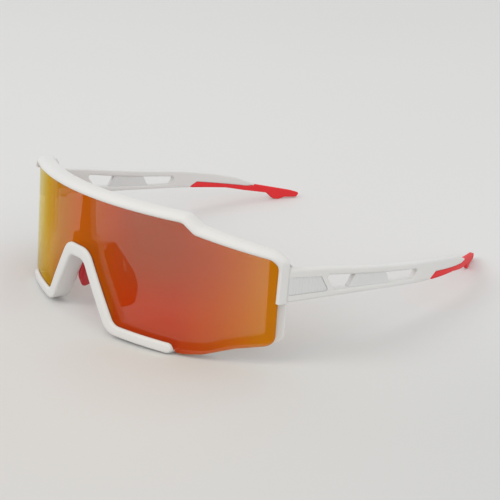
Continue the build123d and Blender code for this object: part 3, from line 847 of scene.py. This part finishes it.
class MakeTrim(bpy.types.Operator):
    """Make the lower trim: nose arch and lower rims"""
    bl_idname = "glasses.make_trim"
    bl_label = "Lower trim"

    def execute(self, context):
        s = sizes()
        trim = finish("lower_trim_band", self.band(s), finish_of("white"), 50.0)
        stand_for(trim, "lower_trim")
        return {"FINISHED"}

    @staticmethod
    def line(s, outer):
        """Right half of one edge of the band: the lens side or the nose side."""
        if outer:
            return [(0, s["arch_top"], 0), (leg(s, 0, s["arch_top"]), s["arch_top"], 6.6),
                    (leg(s, 0, s["rim_height"]), s["rim_height"], 4.0),
                    (s["rim_end"], s["rim_height"], 0)]
        soffit = s["arch_top"] - s["arch_width"]
        return [(0, soffit, 0), (leg(s, s["arch_width"], soffit), soffit, 4.0),
                (leg(s, s["arch_width"], 0.0), 0.0, 7.0), (s["rim_end"], 0.0, 0)]

    def band(self, s):
        """Band swept from one rim end to the other; its nose side is a deep wall."""
        lens_line, nose_line = (walk(self.line(s, outer), TRIM_STEPS) for outer in (True, False))
        total = sum(TRIM_STEPS)
        last = total - TRIM_STEPS[-1]
        foot_start, foot_run = 46, 18.0
        end_run, least, wall_thickness = 1.7, 0.04, 2.2
        path = [(-1, i) for i in range(total, 0, -1)] + [(1, i) for i in range(total + 1)]
        bm = bmesh.new()
        rings = []
        for sign, i in path:
            lens_side, nose_side = lens_line[i], nose_line[i]
            low = min(1.0, max(0.0, (i - foot_start) / foot_run))
            deep = s["arch_depth"] + (RIM_DEPTH - s["arch_depth"]) * low
            wide = np.linalg.norm(lens_side - nose_side)
            run = s["rim_end"] - min(lens_side[0], nose_side[0]) if i > last else math.inf
            round_end = math.sqrt(max(least, 1 - max(0.0, 1 - run / end_run) ** 2))
            wall = (wide - wall_thickness) / wide
            ring = []
            for share, front in self.section(s["trim_proud"], deep, wall):
                share = 0.5 + (share - 0.5) * round_end
                p = nose_side + (lens_side - nose_side) * share
                r = s["lens_radius"] + front
                x = sign * p[0]
                ring.append(bm.verts.new((x, s["lens_radius"] - math.sqrt(r * r - x * x), p[1])))
            rings.append(ring)
        return on_floor(skin(bm, rings))

    @staticmethod
    def section(proud, deep, wall):
        """Section: share of the width from the nose side, and distance in front of the lens face."""
        return [
            (0.0, proud - 0.75), (0.02, proud - 0.48), (0.07, proud - 0.22), (0.15, proud - 0.06),
            (0.25, proud), (0.75, proud), (0.85, proud - 0.06), (0.93, proud - 0.22),
            (0.98, proud - 0.45), (1.0, proud - 0.7), (1.0, 0.12), (wall, 0.10),
            (wall, -deep + 0.45), (wall - 0.04, -deep + 0.12), (wall - 0.12, -deep),
            (0.10, -deep), (0.03, -deep + 0.15), (0.0, -deep + 0.5),
        ]


class MakeTemples(bpy.types.Operator):
    """Make both temples with their windows and hinge knuckles"""
    bl_idname = "glasses.make_temples"
    bl_label = "Temples"

    def execute(self, context):
        s = sizes()
        for side, sign in SIDES:
            if side == "left":
                temple = self.left_arm(s)
                shape = temple.data
            else:
                temple = self.right_arm(shape)
            stand_for(temple, f"temple_{side}")
            low, high = MOVING_KNUCKLE
            ends = sorted((sign * (s["lens_half"] - HINGE_INSET), sign * (s["lens_half"] + 0.9)))
            web = block((ends[0], 33.0, low), (ends[1], 36.2, high), 0.3)
            parts = [knuckle(s, sign, low, high), web]
            lug = finish(f"temple_knuckle_{side}", join(parts), finish_of("white"))
            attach(lug, BODY_OF[f"temple_{side}"])
        return {"FINISHED"}

    @staticmethod
    def left_arm(s):
        """Left temple with its window and its outer pocket."""
        thick = s["temple_thickness"]
        loops = [corners(temple_corners(s)), corners(OPENING)]
        bm = bend(plate(loops, thick, bevel=0.75), on_temple(s, thick / 2, 1, taper=0.5))
        arm = finish("temple_arm_left_body", bm, finish_of("white"))
        cut(arm, bend(plate([corners(POCKET)], 3.0, bevel=0.02, rings=1), on_temple(s, 0.0, 1)))
        return arm

    @staticmethod
    def right_arm(shape):
        """Right temple, the mirror of the left one's finished mesh."""
        bm = bmesh.new()
        bm.from_mesh(shape)
        bmesh.ops.scale(bm, vec=(-1, 1, 1), verts=bm.verts)
        bmesh.ops.reverse_faces(bm, faces=bm.faces)
        return finish("temple_arm_right_body", bm, finish_of("white"))


class MakeInserts(bpy.types.Operator):
    """Make the ribbed panels and the infill blocks"""
    bl_idname = "glasses.make_inserts"
    bl_label = "Inserts"

    def execute(self, context):
        s = sizes()
        gap = 0.02
        inset = [(u + (gap if i in (0, 3) else -gap), v - (gap if i < 2 else -gap), r)
                 for i, (u, v, r) in enumerate(POCKET)]
        for side, sign in SIDES:
            flip = sign < 0
            base = plate([corners(inset)], 1.0, bevel=0.1, rings=1)
            parts = [bend(base, on_temple(s, 0.8, sign), flip)]
            for rib in self.ribs():
                bar = plate([rib], 0.4, bevel=0.06, rings=2)
                parts.append(bend(bar, on_temple(s, 0.43, sign), flip))
            panel = finish(f"ribbed_panel_{side}", join(parts), finish_of("insert_shade"))
            stand_for(panel, f"temple_panel_{side}")
            bm = bend(plate([corners(BLOCK)], 2.0, bevel=0.25), on_temple(s, 1.7, sign), flip)
            infill = finish(f"infill_block_{side}", bm, finish_of("insert_shade"))
            stand_for(infill, f"temple_block_{side}")
        return {"FINISHED"}

    @staticmethod
    def ribs():
        """Outlines of the upright ribs, which shorten along the pocket's slanted end."""
        pitch, width = 1.35, 0.5
        outlines = []
        for k in range(11):
            start = at(0.4) + pitch * k
            top = 31.45 - (start - at(1.0)) * 0.125
            low = 25.75 - (start - at(1.0)) * 0.055
            if start > at(12.0):
                top = 30.0 - (start - at(12.0)) * 1.4
            outlines.append([(start, low), (start + width, low), (start + width, top), (start, top)])
        return outlines


class MakeSleeves(bpy.types.Operator):
    """Make the rubber sleeves at the ears"""
    bl_idname = "glasses.make_sleeves"
    bl_label = "Ear sleeves"

    def execute(self, context):
        s = sizes()
        thick = s["temple_thickness"] + 0.16
        for side, sign in SIDES:
            bm = plate([corners(sleeve_corners(s))], thick, bevel=0.55, step=1.6, rings=4)
            bend(bm, on_temple(s, s["temple_thickness"] / 2, sign, taper=0.57), flip=sign < 0)
            sleeve = finish(f"rubber_sleeve_{side}", on_floor(bm), finish_of("sleeve"))
            stand_for(sleeve, f"ear_sleeve_{side}")
        return {"FINISHED"}


class MakeNosePads(bpy.types.Operator):
    """Make the drop-shaped rubber nose pads"""
    bl_idname = "glasses.make_nose_pads"
    bl_label = "Nose pads"

    def execute(self, context):
        half, w, fall = 11.2, 5.2, 0.35
        outline = corners([
            (-half, -w * 0.62, w * 0.2), (-half * 0.2, -w * 0.9, w * 1.5), (half * 0.5, -w, w * 0.9),
            (half, -w * 0.5, w * 0.5), (half, w * 0.5, w * 0.5), (half * 0.5, w, w * 0.9),
            (half * 0.05, w, w * 1.2), (-half, w * 0.2, w * 0.25)])
        centre = np.array([9.0, 11.0, 16.4])
        along = unit(np.array([7.5, 2.5, -20.5]))
        normal = unit(np.cross(along, np.array([0.25, 0.96, 0.09])))
        across = np.cross(normal, along)
        for side, sign in SIDES:
            def rule(points, sign=sign):
                length, width, depth = points.T
                crown = 1 - fall * (length / half) ** 2
                out = (centre + np.outer(length, along) + np.outer(width, across)
                       + np.outer(depth * crown, normal))
                out[:, 0] *= sign
                return out
            bm = bend(plate([outline], 2.4, bevel=1.1, step=1.2, rings=5), rule, flip=sign < 0)
            pad = finish(f"rubber_pad_{side}", bm, finish_of("pad"), 60.0)
            stand_for(pad, f"nose_pad_{side}")
        return {"FINISHED"}


class FinishHardware(bpy.types.Operator):
    """Give the screws, nuts, wires and nose clip their finishes"""
    bl_idname = "glasses.finish_hardware"
    bl_label = "Hardware finishes"

    def execute(self, context):
        wanted = {"hinge_screws": "steel", "hinge_nuts": "steel", "nose_wire_left": "steel",
                  "nose_wire_right": "steel", "nose_carrier": "white"}
        for node, name in wanted.items():
            for slot in frame["nodes"][node].material_slots:
                slot.material = finish_of(name)
        return {"FINISHED"}


def hang(name, data, place, target):
    """Hangs a light and aims it; the lens mirrors the room and not the lamp itself."""
    light = bpy.data.objects.new(name, data)
    light.location = place
    light.rotation_euler = (Vector(target) - Vector(place)).to_track_quat("-Z", "Y").to_euler()
    light.visible_glossy = False
    bpy.context.scene.collection.objects.link(light)


def lamp(name, place, target, width, power):
    """Soft round area lamp aimed at a point."""
    data = bpy.data.lights.new(name, "AREA")
    data.shape = "DISK"
    data.size = width
    data.energy = power
    hang(name, data, place, target)


class MakeStage(bpy.types.Operator):
    """Make the floor, the light and the camera"""
    bl_idname = "glasses.make_stage"
    bl_label = "Stage"

    def execute(self, context):
        scene = bpy.context.scene
        self.floor(scene)
        self.world(scene)
        lamp("window", (-0.75, -1.65, 1.4), (0, 0, 0), width=1.1, power=11.5)
        lamp("fill", (1.6, -0.3, 0.8), (0, 0, 0.02), width=1.2, power=4.5)
        self.glow()
        self.camera(scene)
        scene.view_settings.view_transform = "Standard"
        return {"FINISHED"}

    @staticmethod
    def glow():
        """Warm light thrown back onto the floor by the mirror coat."""
        data = bpy.data.lights.new("glow", "SPOT")
        data.energy = 1.15
        data.color = (1.0, 0.66, 0.22)
        data.spot_size = math.radians(18.0)
        data.spot_blend = 1.0
        data.shadow_soft_size = 0.05
        hang("glow", data, (0.09, -0.22, 0.5), (0.058, -0.094, 0.0))

    @staticmethod
    def floor(scene):
        """Pale floor, with painted shade that makes it a little darker before the front."""
        bm = bmesh.new()
        bmesh.ops.create_grid(bm, x_segments=8, y_segments=8, size=6.0)
        mat, nodes, links, main = material("pale_floor")
        tone = tuple(scene.glasses_colours.floor)
        place = coordinates(nodes, links, (1, 1, 1))
        cloud = noise(nodes, links, place, 3.0, 2.0)
        tint = ramp(nodes, links, cloud.outputs["Fac"],
                    [(0.2, shade(tone, 0.99)), (0.8, shade(tone, 1.01))])
        # Painted shade: the floor's colour falls to 0.88 of itself towards the front and right.
        along = nodes.new("ShaderNodeVectorMath")
        along.operation = "DOT_PRODUCT"
        along.inputs[1].default_value = (0.77, -0.64, 0)
        links.new(place.outputs["Vector"], along.inputs[0])
        front = span(nodes, links, along.outputs["Value"], 0.0, 0.13)
        scaled = nodes.new("ShaderNodeVectorMath")
        scaled.operation = "SCALE"
        links.new(tint.outputs["Color"], scaled.inputs[0])
        links.new(spread(nodes, links, front, 1.0, 0.88), scaled.inputs["Scale"])
        links.new(scaled.outputs["Vector"], main.inputs["Base Color"])
        main.inputs["Roughness"].default_value = 0.7
        main.inputs["Specular IOR Level"].default_value = 0.2
        finish("pale_floor", bm, mat)

    @staticmethod
    def world(scene):
        """Even room light, seen a little darker by the camera, in mirrors and through the lens."""
        world = bpy.data.worlds.new("soft_room")
        world.use_nodes = True
        scene.world = world
        nodes, links = world.node_tree.nodes, world.node_tree.links
        room = nodes["Background"]
        room.inputs["Color"].default_value = (1.0, 1.0, 1.0, 1)
        room.inputs["Strength"].default_value = 0.88
        seen = nodes.new("ShaderNodeBackground")
        seen.inputs["Color"].default_value = (0.78, 0.78, 0.77, 1)
        seen.inputs["Strength"].default_value = 1.0
        rays = nodes.new("ShaderNodeLightPath").outputs
        shown = reckon(nodes, links, "MAXIMUM", rays["Is Camera Ray"], rays["Is Glossy Ray"])
        shown = reckon(nodes, links, "MAXIMUM", shown, rays["Is Transmission Ray"])
        mix = nodes.new("ShaderNodeMixShader")
        links.new(shown, mix.inputs["Fac"])
        links.new(room.outputs["Background"], mix.inputs[1])
        links.new(seen.outputs["Background"], mix.inputs[2])
        links.new(mix.outputs["Shader"], nodes["World Output"].inputs["Surface"])

    @staticmethod
    def camera(scene):
        """Camera before the left side of the front, looking slightly down."""
        place = (0.29771, -0.24307, 0.15458)
        azimuth, height, roll = math.radians(50.43), math.radians(21.0), math.radians(-0.39)
        data = bpy.data.cameras.new("view")
        data.lens = 77.42
        data.sensor_width = 36.0
        data.clip_start = 0.01
        camera = bpy.data.objects.new("view", data)
        back = Vector((math.sin(azimuth) * math.cos(height),
                       -math.cos(azimuth) * math.cos(height), math.sin(height)))
        right = Vector((math.cos(azimuth), math.sin(azimuth), 0.0))
        up = back.cross(right)
        rolled_right = right * math.cos(roll) + up * math.sin(roll)
        rolled_up = back.cross(rolled_right)
        turn = Matrix((rolled_right, rolled_up, back)).transposed()
        camera.matrix_world = Matrix.Translation(place) @ turn.to_4x4()
        scene.collection.objects.link(camera)
        scene.camera = camera


class GlassesPanel(bpy.types.Panel):
    """Lists the pieces of the sunglasses"""
    bl_idname = "VIEW3D_PT_glasses"
    bl_label = "Sunglasses"
    bl_space_type = "VIEW_3D"
    bl_region_type = "UI"
    bl_category = "Sunglasses"

    def draw(self, context):
        for step in STEPS:
            self.layout.operator(step.bl_idname)
        for group in (context.scene.glasses_sizes, context.scene.glasses_colours):
            for key in group.__class__.__annotations__:
                self.layout.prop(group, key)


STEPS = (MakeLens, MakeFront, MakeTrim, MakeTemples, MakeInserts, MakeSleeves, MakeNosePads,
         FinishHardware, MakeStage)
CLASSES = (GlassesSizes, GlassesColours) + STEPS + (GlassesPanel,)


def register():
    for item in CLASSES:
        bpy.utils.register_class(item)
    bpy.types.Scene.glasses_sizes = PointerProperty(type=GlassesSizes)
    bpy.types.Scene.glasses_colours = PointerProperty(type=GlassesColours)


def unregister():
    del bpy.types.Scene.glasses_sizes
    del bpy.types.Scene.glasses_colours
    for item in reversed(CLASSES):
        bpy.utils.unregister_class(item)


def main():
    """Make every piece in order."""
    register()
    for step in STEPS:
        group, name = step.bl_idname.split(".")
        getattr(getattr(bpy.ops, group), name)()
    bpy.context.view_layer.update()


if __name__ == "__main__":
    main()
